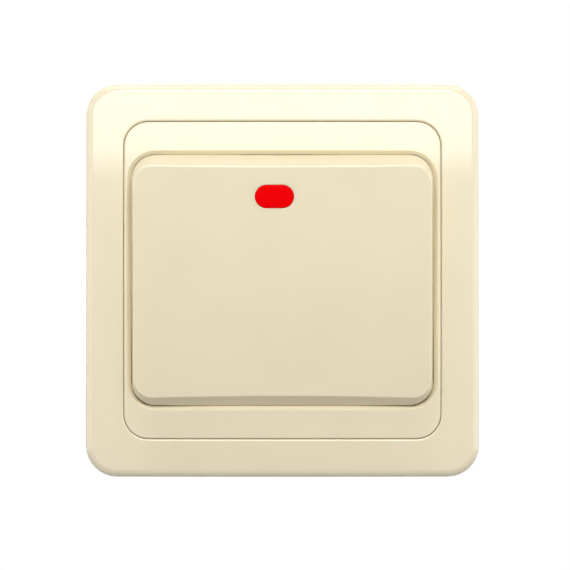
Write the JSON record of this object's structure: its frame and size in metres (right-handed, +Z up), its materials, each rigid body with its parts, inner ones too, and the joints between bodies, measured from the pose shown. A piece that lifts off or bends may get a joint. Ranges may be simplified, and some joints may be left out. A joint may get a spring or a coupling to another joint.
{
  "type": "light switch",
  "caption": "Flush rocker light switch: ivory square frame, cover plate and tilting key with a red indicator window over a screw-terminal mechanism on a steel plate with claws.",
  "frame": {"origin": "centre of the box-screw circle, on the wall plane that the outer frame's back rim lies on", "axes": "+X to the right seen from the room, +Y into the wall, +Z up"},
  "size_m": [0.082, 0.0341, 0.082],
  "materials": {
    "ivory_plastic": "glossy moulded ivory urea plastic",
    "red_lens": "translucent red acrylic",
    "white_plastic": "satin off-white polyamide",
    "base_plastic": "matt light grey moulded plastic",
    "zinc_steel": "zinc-plated sheet steel",
    "plated_steel": "zinc-plated turned steel",
    "spring_steel": "drawn spring wire",
    "brass": "rolled brass strip",
    "silver_contact": "silver alloy rivet",
    "lamp_glass": "clear glass tube",
    "resistor_body": "lacquered film resistor",
    "tinned_wire": "tinned copper wire"
  },
  "bodies": {
    "switch": {"outer_frame": "ivory_plastic", "cover_plate": "ivory_plastic", "mechanism_base": "base_plastic", "mechanism_cover": "white_plastic", "mounting_plate": "zinc_steel", "body_screws": "plated_steel", "line_terminal": "brass", "load_terminal": "brass", "load_contact": "silver_contact", "neon_lamp": "lamp_glass", "lamp_resistor": "resistor_body", "lamp_lead_line": "tinned_wire", "lamp_lead_resistor": "tinned_wire", "resistor_lead_load": "tinned_wire"},
    "rocker": {"rocker": "ivory_plastic", "indicator_lens": "red_lens", "dolly": "white_plastic", "plunger_spring": "spring_steel"},
    "plunger": {"plunger": "white_plastic"},
    "lever": {"contact_lever": "brass", "lever_contact": "silver_contact"},
    "claw_right": {"claw_right": "zinc_steel"},
    "claw_left": {"claw_left": "zinc_steel"},
    "claw_screw_right": {"claw_screw_right": "plated_steel"},
    "claw_screw_left": {"claw_screw_left": "plated_steel"},
    "line_clamp": {"line_clamp": "plated_steel"},
    "load_clamp": {"load_clamp": "plated_steel"},
    "line_clamp_screw": {"line_clamp_screw": "plated_steel"},
    "load_clamp_screw": {"load_clamp_screw": "plated_steel"}
  },
  "joints": [
    {"name": "rocker_tilt", "type": "hinge", "parent": "switch", "child": "rocker", "pos_m": [0, -0.004, 0], "axis": [-1, 0, 0], "range_deg": [0, 8]},
    {"name": "lever_rock", "type": "hinge", "parent": "switch", "child": "lever", "pos_m": [0, 0.01075, 0], "axis": [1, 0, 0], "range_deg": [0, 22.01]},
    {"name": "plunger_slide", "type": "slide", "parent": "rocker", "child": "plunger", "axis": [0, -0.9976, -0.0698], "range_m": [0, 0.0008], "stiffness_N_per_m": 250, "springref_m": -0.0003, "deforming": ["plunger_spring"]},
    {"name": "claw_screw_right_turn", "type": "hinge", "parent": "switch", "child": "claw_screw_right", "pos_m": [0.0235, 0, 0], "axis": [0, 1, 0], "range_deg": [0, 720]},
    {"name": "claw_right_swing", "type": "hinge", "parent": "switch", "child": "claw_right", "pos_m": [0.0207, 0.0031, 0], "axis": [0, 0, -1], "range_deg": [0, 20.01]},
    {"name": "claw_screw_left_turn", "type": "hinge", "parent": "switch", "child": "claw_screw_left", "pos_m": [-0.0235, 0, 0], "axis": [0, 1, 0], "range_deg": [0, 720]},
    {"name": "claw_left_swing", "type": "hinge", "parent": "switch", "child": "claw_left", "pos_m": [-0.0207, 0.0031, 0], "axis": [0, 0, 1], "range_deg": [0, 20.01]},
    {"name": "line_clamp_screw_turn", "type": "hinge", "parent": "switch", "child": "line_clamp_screw", "pos_m": [0, 0.0094, 0.02], "axis": [0, 0, -1], "range_deg": [0, 1560]},
    {"name": "line_clamp_slide", "type": "slide", "parent": "switch", "child": "line_clamp", "axis": [0, 0, 1], "range_m": [0, 0.0026]},
    {"name": "load_clamp_screw_turn", "type": "hinge", "parent": "switch", "child": "load_clamp_screw", "pos_m": [0, 0.0094, -0.02], "axis": [0, 0, 1], "range_deg": [0, 1560]},
    {"name": "load_clamp_slide", "type": "slide", "parent": "switch", "child": "load_clamp", "axis": [0, 0, -1], "range_m": [0, 0.0026]}
  ],
  "couplings": [
    {"joint": "lever_rock", "follows": "rocker_tilt", "ratio": 2.75},
    {"joint": "claw_right_swing", "follows": "claw_screw_right_turn", "ratio": 0.027778},
    {"joint": "claw_left_swing", "follows": "claw_screw_left_turn", "ratio": 0.027778},
    {"joint": "line_clamp_screw_turn", "follows": "line_clamp_slide", "rad_per_m": 10471},
    {"joint": "load_clamp_screw_turn", "follows": "load_clamp_slide", "rad_per_m": 10471}
  ]
}
